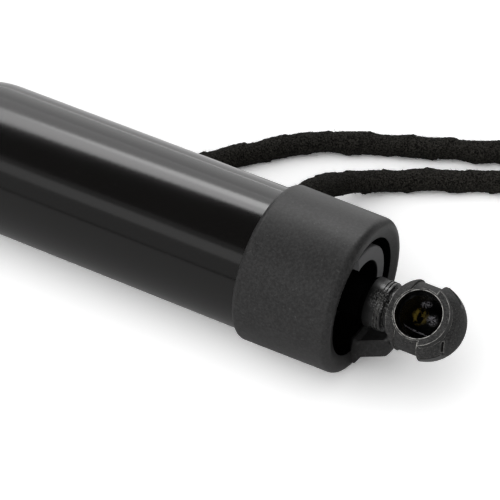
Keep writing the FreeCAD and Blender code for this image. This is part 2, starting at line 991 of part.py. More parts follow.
def wiper_seal():
    x = guide_x + guide_length
    corners = [
        (x, slim_bore_r),
        (tube_end_x, slim_bore_r),
        (tube_end_x, push_r + fit_gap),
        (tube_end_x - wiper_lip, push_r + fit_gap),
        (x, push_r + wiper_flare),
    ]
    return turned(corners)


def mouth_cap():
    start = mouth_x - mouth_cap_length
    corners = [
        (start, slim_r),
        (start, cap_rear_r, cap_rear_rounding),
        (mouth_x, cap_front_r, cap_front_rounding),
        (mouth_x, push_r + slip_gap, cap_opening_rounding),
        (tube_end_x, push_r + slip_gap),
        (tube_end_x, slim_r),
    ]
    return turned(corners)


def rod_end_plug():
    corners = [
        (push_tube_end_x - rod_plug_length, stud_d / 2),
        (push_tube_end_x - rod_plug_length, push_bore_r, plug_rounding),
        (push_tube_end_x, push_bore_r),
        (push_tube_end_x, push_r),
        (push_tube_end_x + rod_plug_flange, push_r, plug_rounding),
        (push_tube_end_x + rod_plug_flange, stud_d / 2),
    ]
    return turned(corners)


def cable_grommet():
    body = grommet_bar(grommet_d / 2, bore_r, tube_r)
    flange = grommet_bar(grommet_flange_d / 2, bore_r, tube_r + grommet_flange)
    flange = flange.cut(rod(grommet_x - grommet_flange_d, grommet_x + grommet_flange_d, tube_r))
    way = grommet_way()
    base = vec(grommet_x, 0, 0).add(vec(*way).multiply(tube_r + grommet_flange))
    boot = Part.makeCone(boot_root_d / 2, boot_tip_d / 2, boot_length, base, way)
    return body.fuse(flange).fuse(boot).removeSplitter()


def cable_start():
    way = grommet_way()
    return vec(grommet_x, 0, 0).add(vec(*way).multiply(tube_r + grommet_flange + boot_length))


def cable():
    """The taped cable: straight runs joined by tangent arcs through its chosen points."""
    points = [cable_start()] + [vec(*p) for p in cable_points]
    edges = []
    radii = []
    last = points[0]
    for before, here, after in zip(points, points[1:], points[2:]):
        back = before.sub(here)
        ahead = after.sub(here)
        shorter = min(back.Length, ahead.Length)
        back.normalize()
        ahead.normalize()
        half = back.getAngle(ahead) / 2
        reach = bend_share * shorter
        radius = reach * math.tan(half)
        radii.append(radius)
        start = here.add(vec(*back).multiply(reach))
        end = here.add(vec(*ahead).multiply(reach))
        bisector = back.add(ahead).normalize()
        middle = here.add(bisector.multiply(radius / math.sin(half) - radius))
        edges.append(Part.LineSegment(last, start).toShape())
        edges.append(Part.Arc(start, middle, end).toShape())
        last = end
    edges.append(Part.LineSegment(last, points[-1]).toShape())
    path = Part.Wire(edges)
    solid = piped(edges, cable_d / 2)
    section = math.pi * cable_d * cable_d / 4
    print("cable length:", round(path.Length, 1), "bend radii:", [round(r, 1) for r in radii])
    print("cable volume over section times length:", round(solid.Volume / (section * path.Length), 4))
    return solid


def connector_body():
    end = vec(*cable_points[-1])
    front_x = end.x + connector_length
    low = vec(end.x, end.y - connector_width / 2, floor_z)
    block = Part.makeBox(connector_length, connector_width, connector_height, low)
    along = [e for e in block.Edges if abs(e.tangentAt(e.FirstParameter).x) > 0.9]
    block = block.makeFillet(connector_rounding, along)
    middle_z = floor_z + connector_height / 2
    for row in (-0.5, 0.5):
        for column in (-1, 0, 1):
            y = end.y + column * terminal_pitch - terminal_hole / 2
            z = middle_z + row * terminal_pitch - terminal_hole / 2
            corner = vec(front_x - terminal_depth, y, z)
            block = block.cut(Part.makeBox(terminal_depth, terminal_hole, terminal_hole, corner))
    latch_side = end.y - latch_width / 2
    top_z = floor_z + connector_height
    latch_end_x = front_x - latch_setback
    arm_corner = vec(latch_end_x - latch_length, latch_side, top_z)
    arm = Part.makeBox(latch_length, latch_width, latch_height, arm_corner)
    hook_corner = vec(latch_end_x - hook_setback - hook_length, latch_side, top_z)
    hook = Part.makeBox(hook_length, latch_width, latch_height + hook_rise, hook_corner)
    return block.fuse(arm).fuse(hook).cut(connector_lock_box(fit_gap)).removeSplitter()


def connector_lock_box(gap):
    end = vec(*cable_points[-1])
    x = end.x + connector_length - terminal_depth - lock_setback - lock_thickness
    corner = vec(x - gap, end.y - lock_width / 2 - gap, floor_z)
    return Part.makeBox(lock_length + 2 * gap, lock_width + 2 * gap, lock_thickness + gap, corner)


def connector_lock():
    return connector_lock_box(0.0)


PIECES = {
    "housing_tube": housing_tube,
    "end_cap": end_cap,
    "retaining_segment": retaining_segment,
    "end_plug": end_plug,
    "housing_ball_socket": lambda: on_housing(ball_socket(plug_x - plug_hub_length)),
    "housing_socket_clip": lambda: on_housing(socket_clip()),
    "isolator_ring": isolator_ring,
    "motor_can": motor_can,
    "brush_holder": brush_holder,
    "motor_brushes": motor_brushes,
    "sensor_board": sensor_board,
    "rear_motor_bush": rear_motor_bush,
    "front_motor_bush": front_motor_bush,
    "motor_magnets": motor_magnets,
    "armature_core": armature_core,
    "armature_windings": armature_windings,
    "commutator": commutator,
    "sensor_magnet": sensor_magnet,
    "motor_shaft": motor_shaft,
    "sun_gear": sun_gear,
    "planet_gear_1": lambda: planet_gear(0),
    "planet_gear_2": lambda: planet_gear(1),
    "planet_gear_3": lambda: planet_gear(2),
    "ring_gear": ring_gear,
    "gearbox_plate": gearbox_plate,
    "planet_carrier": planet_carrier,
    "bearing_carrier": bearing_carrier,
    "bearing_outer_race": bearing_outer_race,
    "bearing_inner_race": bearing_inner_race,
    "bearing_balls": bearing_balls,
    "spring_seat": spring_seat,
    "lift_spring": lift_spring,
    "spindle": spindle,
    "spindle_tip_bush": spindle_tip_bush,
    "spindle_nut": spindle_nut,
    "push_tube": push_tube,
    "guide_bush": guide_bush,
    "wiper_seal": wiper_seal,
    "mouth_cap": mouth_cap,
    "rod_end_plug": rod_end_plug,
    "rod_ball_socket": lambda: on_rod(ball_socket(rod_neck_length)),
    "rod_socket_clip": lambda: on_rod(socket_clip()),
    "cable_grommet": cable_grommet,
    "cable": cable,
    "connector_body": connector_body,
    "connector_lock": connector_lock,
}

os.makedirs("parts", exist_ok=True)
for name, make in PIECES.items():
    shape = make()
    state = "valid" if shape.isValid() else "not valid"
    print(name, len(shape.Solids), "solids,", state, round(shape.Volume, 1))
    shape.exportStep("parts/" + name + ".step")
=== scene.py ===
import bpy
import math
import random
from mathutils import Matrix, Vector, noise


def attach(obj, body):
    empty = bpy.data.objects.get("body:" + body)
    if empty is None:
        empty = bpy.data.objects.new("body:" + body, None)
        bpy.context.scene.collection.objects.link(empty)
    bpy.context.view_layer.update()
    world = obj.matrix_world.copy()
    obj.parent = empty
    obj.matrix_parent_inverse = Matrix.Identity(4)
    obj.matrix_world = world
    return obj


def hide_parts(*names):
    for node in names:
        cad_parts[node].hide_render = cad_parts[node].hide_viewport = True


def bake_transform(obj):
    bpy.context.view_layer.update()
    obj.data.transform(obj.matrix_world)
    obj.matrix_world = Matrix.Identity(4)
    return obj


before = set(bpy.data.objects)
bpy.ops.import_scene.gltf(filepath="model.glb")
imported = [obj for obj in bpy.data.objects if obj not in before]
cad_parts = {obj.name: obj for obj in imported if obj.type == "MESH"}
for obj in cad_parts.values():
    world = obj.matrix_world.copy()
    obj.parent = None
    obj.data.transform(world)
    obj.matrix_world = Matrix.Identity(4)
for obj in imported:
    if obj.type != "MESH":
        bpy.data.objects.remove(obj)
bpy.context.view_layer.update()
mm = 0.001

# HOUSING TUBE
# One steel tube, swaged down to a slimmer one beyond the gearbox and stoved in gloss black
# enamel. Its near end sits in the end cap and its far end in the mouth cap.
tube_r = 18.15
tube_wall = 1.5
slim_r = 15.0
tube_start = 19.2
tube_end = 426.875
swage_x = 123.128
slim_x = 137.947
swage_rounding = 25.0
half_swage_angle = 6
enamel_black = (0.0024, 0.0021, 0.0019)
enamel_dust = (0.007, 0.0068, 0.0065)


def rounded(corners, steps=10):
    """Points of an outline whose corners are (x, y) or (x, y, rounding)."""
    points = []
    count = len(corners)
    for i in range(count):
        here = Vector(corners[i][:2])
        rounding = corners[i][2] if len(corners[i]) > 2 else 0.0
        if rounding == 0.0:
            points.append(here)
            continue
        back = (Vector(corners[i - 1][:2]) - here).normalized()
        ahead = (Vector(corners[(i + 1) % count][:2]) - here).normalized()
        half = back.angle(ahead) / 2
        reach = rounding / math.tan(half)
        centre = here + (back + ahead).normalized() * (rounding / math.sin(half))
        start = here + back * reach - centre
        sweep = start.angle_signed(here + ahead * reach - centre)
        for k in range(steps + 1):
            turn = Matrix.Rotation(-sweep * k / steps, 2)
            points.append(centre + turn @ start)
    return points


def smooth_mesh(name, points, faces, sharp=40.0):
    """An object from points in millimetres, smooth but for edges sharper than the angle."""
    mesh = bpy.data.meshes.new(name)
    mesh.from_pydata([tuple(c * mm for c in p) for p in points], [], faces)
    mesh.validate()
    for polygon in mesh.polygons:
        polygon.use_smooth = True
    mesh.set_sharp_from_angle(angle=math.radians(sharp))
    made = bpy.data.objects.new(name, mesh)
    bpy.context.scene.collection.objects.link(made)
    return made


def turned(name, corners, steps=240, sharp=30.0):
    """A tube turned about the strut's axis from the corners of its section."""
    section = rounded(corners)
    points = []
    for k in range(steps):
        angle = 2 * math.pi * k / steps
        for x, r in section:
            points.append((x, r * math.cos(angle), r * math.sin(angle)))
    count = len(section)
    faces = []
    for k in range(steps):
        a = k * count
        b = (k + 1) % steps * count
        for i in range(count):
            j = (i + 1) % count
            faces.append((a + i, a + j, b + j, b + i))
    made = smooth_mesh(name, points, faces, sharp)
    made.data.flip_normals()
    return made


def swaged(off):
    """The line along the tube's outside, or the given distance under it."""
    shift = off * math.tan(math.radians(half_swage_angle))
    return [
        (tube_start, tube_r - off),
        (swage_x - shift, tube_r - off, swage_rounding - off),
        (slim_x - shift, slim_r - off, swage_rounding + off),
        (tube_end, slim_r - off),
    ]


def add(tree, kind, **settings):
    """A new node with its settings, in a material or a group."""
    node = tree.nodes.new(kind)
    for key, value in settings.items():
        setattr(node, key, value)
    return node


def feed(tree, source, target):
    """Joins an output to an input, or sets the input where the source is a number or a colour."""
    if isinstance(source, bpy.types.NodeSocket):
        tree.links.new(source, target)
    elif target.type == "RGBA":
        target.default_value = (*source, 1)
    else:
        target.default_value = source


def place_of(tree):
    """Where a point lies in the strut's own frame, in metres."""
    return add(tree, "ShaderNodeTexCoord").outputs["Object"]


def noise_field(tree, scale, detail, roughness, stretch=(1, 1, 1)):
    squeeze = add(tree, "ShaderNodeMapping")
    field = add(tree, "ShaderNodeTexNoise")
    feed(tree, place_of(tree), squeeze.inputs["Vector"])
    feed(tree, stretch, squeeze.inputs["Scale"])
    feed(tree, squeeze.outputs["Vector"], field.inputs["Vector"])
    feed(tree, scale, field.inputs["Scale"])
    feed(tree, detail, field.inputs["Detail"])
    feed(tree, roughness, field.inputs["Roughness"])
    return field.outputs["Fac"]


def levels(tree, source, low, high):
    """A mask that runs from 0 to 1 while the source runs from low to high."""
    node = add(tree, "ShaderNodeMapRange", clamp=True)
    feed(tree, source, node.inputs["Value"])
    feed(tree, low, node.inputs["From Min"])
    feed(tree, high, node.inputs["From Max"])
    return node.outputs["Result"]


def between(tree, mask, first, second):
    """A value between two, by a mask."""
    node = add(tree, "ShaderNodeMapRange", clamp=True)
    feed(tree, mask, node.inputs["Value"])
    feed(tree, first, node.inputs["To Min"])
    feed(tree, second, node.inputs["To Max"])
    return node.outputs["Result"]


def blended(tree, mask, first, second):
    """A colour between two, by a mask."""
    node = add(tree, "ShaderNodeMix", data_type="RGBA")
    colours = [socket for socket in node.inputs if socket.type == "RGBA"]
    feed(tree, mask, node.inputs["Factor"])
    feed(tree, first, colours[0])
    feed(tree, second, colours[1])
    return next(socket for socket in node.outputs if socket.type == "RGBA")


def bump(tree, height, distance, strength, under=None):
    """The normal of a relief of so many millimetres, over another normal where one is given."""
    node = add(tree, "ShaderNodeBump")
    feed(tree, height, node.inputs["Height"])
    feed(tree, distance * mm, node.inputs["Distance"])
    feed(tree, strength, node.inputs["Strength"])
    if under is not None:
        feed(tree, under, node.inputs["Normal"])
    return node.outputs["Normal"]


def group(name, inputs, outputs):
    """An empty shader group with named values in and out, and its two end nodes."""
    tree = bpy.data.node_groups.new(name, "ShaderNodeTree")
    for label, value in inputs.items():
        made = tree.interface.new_socket(name=label, in_out="INPUT", socket_type="NodeSocketFloat")
        made.default_value = value
    for label in outputs:
        tree.interface.new_socket(name=label, in_out="OUTPUT", socket_type="NodeSocketFloat")
    return tree, add(tree, "NodeGroupInput"), add(tree, "NodeGroupOutput")


def placed(tree, made, **values):
    """A group placed in a material with its own values, and the outputs of it."""
    node = add(tree, "ShaderNodeGroup", node_tree=made)
    for label, value in values.items():
        feed(tree, value, node.inputs[label.replace("_", " ")])
    return node.outputs


def painted(name):
    """A new material, its node tree and its own shader's inputs."""
    material = bpy.data.materials.new(name)
    material.use_nodes = True
    tree = material.node_tree
    return material, tree, tree.nodes["Principled BSDF"].inputs


# Dust and light rubbing: cloudy patches, and fine specks.
rubbing, rub_in, rub_out = group(
    "rubbing", {"Patch Scale": 30.0, "Speck Scale": 900.0}, ("Patches", "Specks"))
patches = noise_field(rubbing, rub_in.outputs["Patch Scale"], 5.0, 0.6)
specks = noise_field(rubbing, rub_in.outputs["Speck Scale"], 2.0, 0.5)
feed(rubbing, levels(rubbing, patches, 0.35, 0.75), rub_out.inputs["Patches"])
feed(rubbing, levels(rubbing, specks, 0.66, 0.78), rub_out.inputs["Specks"])

# The fine unevenness of a moulded, turned, coated or felted surface.
grained, grain_in, grain_out = group(
    "grain", {"Scale": 2500.0, "Detail": 3.0, "Roughness": 0.6}, ("Height",))
height = noise_field(
    grained, grain_in.outputs["Scale"], grain_in.outputs["Detail"], grain_in.outputs["Roughness"])
feed(grained, height, grain_out.inputs["Height"])


def grain(tree, scale, detail=3.0, roughness=0.6):
    return placed(tree, grained, Scale=scale, Detail=detail, Roughness=roughness)["Height"]


enamel, tree, shader = painted("gloss_black_enamel")
rub = placed(tree, rubbing, Patch_Scale=14.0, Speck_Scale=1400.0)
feed(tree, blended(tree, rub["Specks"], enamel_black, enamel_dust), shader["Base Color"])
feed(tree, between(tree, rub["Patches"], 0.11, 0.16), shader["Roughness"])
drawn_wave = bump(tree, noise_field(tree, 26.0, 1.0, 0.4, (0.5, 1, 1)), 0.22, 1.0)
feed(tree, bump(tree, grain(tree, 900.0, 2.0, 0.5), 0.004, 1.0, drawn_wave), shader["Normal"])

tube = turned("painted_tube", swaged(0) + list(reversed(swaged(tube_wall))))
tube.data.materials.append(enamel)
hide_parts("housing_tube")
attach(tube, "housing")

# END CAP
# A moulded cap of dark glass-filled plastic, pushed over the tube's end. Its round opening lets the
# neck out and is painted near black inside as painted shade of the deep hole, and a tongue below
# the neck is moulded on in one piece.
cap_shade = (0.019, 0.0186, 0.0186)
cap_light = (0.033, 0.0325, 0.0325)
cap_speck = (0.05, 0.05, 0.05)
hole_shade_dark = (0.0009, 0.0009, 0.0009)
hole_shade_pale = (0.0015, 0.0015, 0.0015)
hole_r = 14.95
hole_start = 17.2


def times(tree, first, second):
    node = add(tree, "ShaderNodeMath", operation="MULTIPLY")
    feed(tree, first, node.inputs[0])
    feed(tree, second, node.inputs[1])
    return node.outputs["Value"]


def beyond(tree, first, second):
    """A mask that is 1 where the first length is the greater one, with a soft border."""
    node = add(tree, "ShaderNodeMath", operation="SUBTRACT")
    feed(tree, first, node.inputs[0])
    feed(tree, second, node.inputs[1])
    return levels(tree, node.outputs["Value"], -0.05 * mm, 0.05 * mm)


# Painted shade round the neck: what lies within a radius of the strut's axis, from some way along it.
shade_round_neck, shade_in, shade_out = group("painted_shade_round_the_neck", {"Radius": 0.015, "Start": 0.017}, ("Painted Shade",))
across = add(shade_round_neck, "ShaderNodeVectorMath", operation="MULTIPLY")
feed(shade_round_neck, place_of(shade_round_neck), across.inputs[0])
feed(shade_round_neck, (0, 1, 1), across.inputs[1])
away = add(shade_round_neck, "ShaderNodeVectorMath", operation="LENGTH")
feed(shade_round_neck, across.outputs["Vector"], away.inputs[0])
parts = add(shade_round_neck, "ShaderNodeSeparateXYZ")
feed(shade_round_neck, place_of(shade_round_neck), parts.inputs["Vector"])
within = beyond(shade_round_neck, shade_in.outputs["Radius"], away.outputs["Value"])
further = beyond(shade_round_neck, parts.outputs["X"], shade_in.outputs["Start"])
feed(shade_round_neck, times(shade_round_neck, within, further), shade_out.inputs["Painted Shade"])

cap_plastic, tree, shader = painted("dark_moulded_plastic")
rub = placed(tree, rubbing, Patch_Scale=55.0, Speck_Scale=1100.0)
mottled = blended(tree, levels(tree, grain(tree, 1500.0, 3.0, 0.7), 0.38, 0.66), cap_shade, cap_light)
mottled = blended(tree, rub["Specks"], mottled, cap_speck)
in_hole = placed(tree, shade_round_neck, Radius=hole_r * mm, Start=hole_start * mm)["Painted Shade"]
# Inside the hole the colour turns near black: painted shade of the deep opening.
feed(tree, blended(tree, in_hole, mottled, hole_shade_dark), shader["Base Color"])
feed(tree, between(tree, rub["Patches"], 0.40, 0.46), shader["Roughness"])
feed(tree, 0.22, shader["Specular IOR Level"])
feed(tree, bump(tree, grain(tree, 2600.0), 0.05, 0.25), shader["Normal"])

# A near black finish for the faces deep in the hole and on the studs: painted shade.
hole_shade, tree, shader = painted("painted_hole_shade_black")
rub = placed(tree, rubbing, Patch_Scale=120.0)
feed(tree, blended(tree, rub["Patches"], hole_shade_dark, hole_shade_pale), shader["Base Color"])
feed(tree, 0.45, shader["Roughness"])
feed(tree, 0.0, shader["Specular IOR Level"])


def dress(names, material):
    """Gives CAD pieces their finish and soft shading between their facets."""
    for name in names:
        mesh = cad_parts[name].data
        mesh.materials.clear()
        mesh.materials.append(material)
        for polygon in mesh.polygons:
            polygon.use_smooth = True


def dress_faces(name, material, chosen):
    """A second finish on those faces of a piece whose middle, in millimetres, is chosen."""
    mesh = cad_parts[name].data
    mesh.materials.append(material)
    for polygon in mesh.polygons:
        if chosen(polygon.center / mm):
            polygon.material_index = len(mesh.materials) - 1


dress(("end_cap",), cap_plastic)
# Faces deep in the cap's opening get the near black finish: painted shade.
dress_faces("end_cap", hole_shade, lambda place: place.x > hole_start and place.yz.length < hole_r)

# RETAINING SEGMENT
# A light grey moulded arc that is pushed in round the plug and locks it in the cap. Its front
# and outer side keep their grey; the edge towards the neck is painted near black as painted shade.
segment_shade = (0.118, 0.118, 0.120)
segment_light = (0.142, 0.142, 0.145)
painted_shade_edge_r = 9.1

grey_plastic, tree, shader = painted("grey_moulded_plastic")
rub = placed(tree, rubbing, Patch_Scale=90.0)
segment_grey = blended(tree, rub["Patches"], segment_shade, segment_light)
painted_shade_edge = placed(tree, shade_round_neck, Radius=painted_shade_edge_r * mm, Start=0.0)["Painted Shade"]
# The inner edge towards the neck turns near black: painted shade, as in the hole.
feed(tree, blended(tree, painted_shade_edge, segment_grey, hole_shade_dark), shader["Base Color"])
feed(tree, 0.2, shader["Specular IOR Level"])
feed(tree, 0.6, shader["Roughness"])
dress(("retaining_segment",), grey_plastic)

# END PLUG
# A hard rubber plug pressed into the tube's end behind the cap. It holds the socket's stud, and it
# shows only as the black ground of the hole; it is painted darker than its rubber as painted shade.
plug_painted_shade_dark = (0.0008, 0.0008, 0.0008)
plug_painted_shade_pale = (0.0022, 0.0021, 0.0020)

plug_rubber, tree, shader = painted("rubber_plug_painted_shade")
rub = placed(tree, rubbing, Patch_Scale=120.0)
# Near black, darker than the rubber itself: painted shade of the deep hole.
feed(tree, blended(tree, rub["Patches"], plug_painted_shade_dark, plug_painted_shade_pale), shader["Base Color"])
feed(tree, 0.8, shader["Roughness"])
feed(tree, 0.08, shader["Specular IOR Level"])
dress(("end_plug",), plug_rubber)

# BALL SOCKETS
# Turned and forged steel end fittings with a pitted black coating that has worn bright along the
# ball seat and the lip. Old amber grease sits in the seat with painted glints on it, the neck
# carries a painted highlight, and the far neck and stud are painted near black as painted shade.
rod_ball_x = 475.375
seat_tilt = 36
bore_r = 5.82
bore_floor = -6.0
neck_start = 8.3
stud_start = 14.2
rim_from = (5.66, 5.74)
rim_to = (5.98, 5.88)
mouth_from = (8.40, 8.52)
outer_from = (7.9, 8.3)
# Painted shade: the neck goes near black between these distances along it.
neck_shade_from = (12.0, 15.5)
scratch_from = (2.45, 2.60)
scratch_to = (2.95, 2.80)
scratch_below = (2.5, 1.5)
# The middle of the painted highlight on the neck.
painted_neck_highlight_at = (10.5, -0.3, 6.1)
amber_at = (3.4, -1.0, -3.8)
flank_glint_at = (2.4, -4.1, -2.0)
floor_glint_at = (0.4, -1.2, -5.0)
coat_shade = (0.012, 0.012, 0.0122)
coat_light = (0.026, 0.026, 0.026)
coat_pit = (0.050, 0.049, 0.048)
coat_speck = (0.13, 0.128, 0.124)
worn_metal = (0.62, 0.61, 0.58)
neck_black = (0.005, 0.005, 0.005)
# The light grey of the neck's painted highlight.
neck_painted_highlight = (0.13, 0.13, 0.128)
# The near black of the neck's painted shade.
neck_painted_shade = (0.0008, 0.0008, 0.0008)
seat_black = (0.0006, 0.0006, 0.0006)
grease_amber = (0.24, 0.175, 0.032)
# The light grey of the painted glints in the seat, and of a scratch there.
seat_painted_glint_and_scratch = (0.42, 0.41, 0.44)


def most_of(tree, first, second):
    node = add(tree, "ShaderNodeMath", operation="MAXIMUM")
    feed(tree, first, node.inputs[0])
    feed(tree, second, node.inputs[1])
    return node.outputs["Value"]


def past(tree, length, limits):
    """A mask over a length that runs from 0 to 1 between two limits in millimetres."""
    return levels(tree, length, limits[0] * mm, limits[1] * mm)


def spot(tree, place, centre, reach):
    """A soft round patch on a surface, strongest in its middle."""
    away = add(tree, "ShaderNodeVectorMath", operation="DISTANCE")
    feed(tree, place, away.inputs[0])
    feed(tree, [c * mm for c in centre], away.inputs[1])
    return past(tree, away.outputs["Value"], (reach, reach / 2))


# Wear along outer edges, broken up as rubbing leaves it.
worn, worn_in, worn_out = group("worn_edges", {"Edge Width": 0.0002, "Break Scale": 900.0}, ("Wear",))
softened = add(worn, "ShaderNodeBevel", samples=6)
feed(worn, worn_in.outputs["Edge Width"], softened.inputs["Radius"])
alike = add(worn, "ShaderNodeVectorMath", operation="DOT_PRODUCT")
feed(worn, softened.outputs["Normal"], alike.inputs[0])
feed(worn, add(worn, "ShaderNodeNewGeometry").outputs["Normal"], alike.inputs[1])
edge = levels(worn, alike.outputs["Value"], 0.985, 0.93)
broken = levels(worn, noise_field(worn, worn_in.outputs["Break Scale"], 3.0, 0.6), 0.38, 0.62)
feed(worn, times(worn, edge, broken), worn_out.inputs["Wear"])

# Masks for the places of a socket, measured from its ball's middle with the seat's axis upright.
seat, seat_in, seat_out = group(
    "places_on_a_socket",
    {"Centre X": 0.0, "Neck Way": 1.0},
    ("Rim", "Outer", "Painted Neck Highlight", "Painted Shade", "Amber", "Painted Glints And Scratch"),
)
centre = add(seat, "ShaderNodeCombineXYZ")
feed(seat, seat_in.outputs["Centre X"], centre.inputs["X"])
upright = add(seat, "ShaderNodeMapping", vector_type="TEXTURE")
feed(seat, place_of(seat), upright.inputs["Vector"])
feed(seat, centre.outputs["Vector"], upright.inputs["Location"])
feed(seat, (math.radians(-seat_tilt), 0, 0), upright.inputs["Rotation"])
level = add(seat, "ShaderNodeVectorMath", operation="MULTIPLY")
feed(seat, upright.outputs["Vector"], level.inputs[0])
feed(seat, (1, 1, 0), level.inputs[1])
away = add(seat, "ShaderNodeVectorMath", operation="LENGTH")
feed(seat, level.outputs["Vector"], away.inputs[0])
radius = away.outputs["Value"]
parts = add(seat, "ShaderNodeSeparateXYZ")
feed(seat, upright.outputs["Vector"], parts.inputs["Vector"])
along = times(seat, parts.outputs["X"], seat_in.outputs["Neck Way"])
turned_round = add(seat, "ShaderNodeCombineXYZ")
feed(seat, along, turned_round.inputs["X"])
feed(seat, parts.outputs["Y"], turned_round.inputs["Y"])
feed(seat, parts.outputs["Z"], turned_round.inputs["Z"])
place = turned_round.outputs["Vector"]

rim = times(seat, past(seat, radius, rim_from), past(seat, radius, rim_to))
at_mouth = past(seat, parts.outputs["Z"], mouth_from)
feed(seat, times(seat, rim, at_mouth), seat_out.inputs["Rim"])
feed(seat, past(seat, radius, outer_from), seat_out.inputs["Outer"])
# A painted highlight: a light speckled spot on the neck's upper side, standing in for gloss.
feed(seat, spot(seat, place, painted_neck_highlight_at, 3.6), seat_out.inputs["Painted Neck Highlight"])
# Painted shade: the neck turns near black from this far along, where it enters the cap's hole.
feed(seat, past(seat, along, neck_shade_from), seat_out.inputs["Painted Shade"])
smeared = levels(seat, noise_field(seat, 800.0, 3.0, 0.6), 0.42, 0.60)
feed(seat, times(seat, spot(seat, place, amber_at, 2.5), smeared), seat_out.inputs["Amber"])
scratch = times(
    seat, past(seat, parts.outputs["Y"], scratch_from), past(seat, parts.outputs["Y"], scratch_to))
scratch = times(seat, scratch, past(seat, parts.outputs["Z"], scratch_below))
# Painted glints: light patches in the seat for reflections in the grease; the scratch is a mark.
painted_glints = most_of(seat, spot(seat, place, flank_glint_at, 1.6), spot(seat, place, floor_glint_at, 1.5))
uneven = levels(seat, noise_field(seat, 1500.0, 2.0, 0.6, (1, 3, 1)), 0.40, 0.62)
feed(seat, times(seat, most_of(seat, painted_glints, scratch), uneven), seat_out.inputs["Painted Glints And Scratch"])


def rubbed_off(tree, at):
    """Where a socket's coating is gone: along its edges, and round the mouth of the seat."""
    edges = placed(tree, worn, Edge_Width=0.00024, Break_Scale=700.0)["Wear"]
    edges = times(tree, edges, between(tree, at["Outer"], 1.0, 0.3))
    rim = times(tree, at["Rim"], levels(tree, grain(tree, 900.0), 0.36, 0.56))
    return most_of(tree, edges, rim)


def coated_metal(name, centre_x, neck_way):
    material, tree, shader = painted(name)
    rub = placed(tree, rubbing, Patch_Scale=260.0, Speck_Scale=2600.0)
    at = placed(tree, seat, Centre_X=centre_x * mm, Neck_Way=neck_way)
    pitted = levels(tree, grain(tree, 2200.0, 3.0, 0.75), 0.40, 0.64)
    coat = blended(tree, pitted, blended(tree, rub["Patches"], coat_shade, coat_light), coat_pit)
    coat = blended(tree, rub["Specks"], coat, coat_speck)
    wear = rubbed_off(tree, at)
    feed(tree, blended(tree, wear, coat, worn_metal), shader["Base Color"])
    feed(tree, between(tree, rub["Patches"], 0.50, 0.66), shader["Roughness"])
    feed(tree, between(tree, wear, 0.0, 0.55), shader["Metallic"])
    feed(tree, 0.16, shader["Specular IOR Level"])
    feed(tree, bump(tree, grain(tree, 2600.0), 0.03, 0.5), shader["Normal"])
    return material


def greased_seat(name, centre_x, neck_way):
    material, tree, shader = painted(name)
    at = placed(tree, seat, Centre_X=centre_x * mm, Neck_Way=neck_way)
    grease = blended(tree, at["Amber"], seat_black, grease_amber)
    # Light grey patches over the grease: painted glints, with a scratch among them.
    feed(tree, blended(tree, at["Painted Glints And Scratch"], grease, seat_painted_glint_and_scratch), shader["Base Color"])
    feed(tree, 0.14, shader["Roughness"])
    feed(tree, between(tree, rubbed_off(tree, at), 0.0, 0.55), shader["Metallic"])
    feed(tree, 0.35, shader["Specular IOR Level"])
    smear = bump(tree, grain(tree, 360.0, 4.0, 0.65), 0.9, 0.9)
    feed(tree, bump(tree, grain(tree, 2600.0), 0.03, 0.5, smear), shader["Normal"])
    return material


def turned_neck(name, centre_x, neck_way):
    material, tree, shader = painted(name)
    at = placed(tree, seat, Centre_X=centre_x * mm, Neck_Way=neck_way)
    # Light specks in a spot on the upper neck: a painted highlight.
    painted_highlight = times(tree, levels(tree, grain(tree, 2600.0), 0.48, 0.62), at["Painted Neck Highlight"])
    coat = blended(tree, painted_highlight, neck_black, neck_painted_highlight)
    # The far neck turns near black, dull and without gloss: painted shade in the hole.
    coat = blended(tree, at["Painted Shade"], coat, neck_painted_shade)
    wear = rubbed_off(tree, at)
    feed(tree, blended(tree, wear, coat, worn_metal), shader["Base Color"])
    feed(tree, between(tree, at["Painted Shade"], 0.24, 0.7), shader["Roughness"])
    feed(tree, most_of(tree, between(tree, wear, 0.0, 0.55), at["Painted Shade"]), shader["Metallic"])
    feed(tree, bump(tree, grain(tree, 2600.0), 0.03, 0.5), shader["Normal"])
    return material


def dress_socket(name, centre_x, neck_way):
    """A socket's finishes: coated outside, greased in the seat, turned on the neck, painted shade beyond.
    """
    to_upright = Matrix.Rotation(math.radians(seat_tilt), 3, "X")
    middle = Vector((centre_x, 0, 0))

    def in_bore(place):
        away = to_upright @ (place - middle)
        return away.xy.length < bore_r and away.z > bore_floor

    def on_neck(place):
        return (place.x - centre_x) * neck_way > neck_start

    def on_stud(place):
        return (place.x - centre_x) * neck_way > stud_start

    dress((name,), coated_metal(name + "_coating", centre_x, neck_way))
    dress_faces(name, greased_seat(name + "_seat", centre_x, neck_way), in_bore)
    dress_faces(name, turned_neck(name + "_neck", centre_x, neck_way), on_neck)
    # The studs get the near black finish: painted shade in the hole.
    dress_faces(name, hole_shade, on_stud)


dress_socket("housing_ball_socket", 0.0, 1.0)
dress_socket("rod_ball_socket", rod_ball_x, -1.0)

# SOCKET CLIPS
# Flat clips of dark spring steel that lie in a groove round each socket's dome and hold the ball
# stud in its seat. They are pushed in from the side and rub bright only along their edges.
clip_steel, tree, shader = painted("dark_spring_steel")
rub = placed(tree, rubbing, Patch_Scale=200.0, Speck_Scale=2400.0)
steel = blended(tree, rub["Patches"], (0.020, 0.020, 0.020), (0.040, 0.039, 0.038))
wear = placed(tree, worn, Edge_Width=0.00015, Break_Scale=900.0)["Wear"]
feed(tree, blended(tree, wear, steel, (0.07, 0.069, 0.067)), shader["Base Color"])
feed(tree, between(tree, rub["Patches"], 0.35, 0.5), shader["Roughness"])
dress(("housing_socket_clip", "rod_socket_clip"), clip_steel)


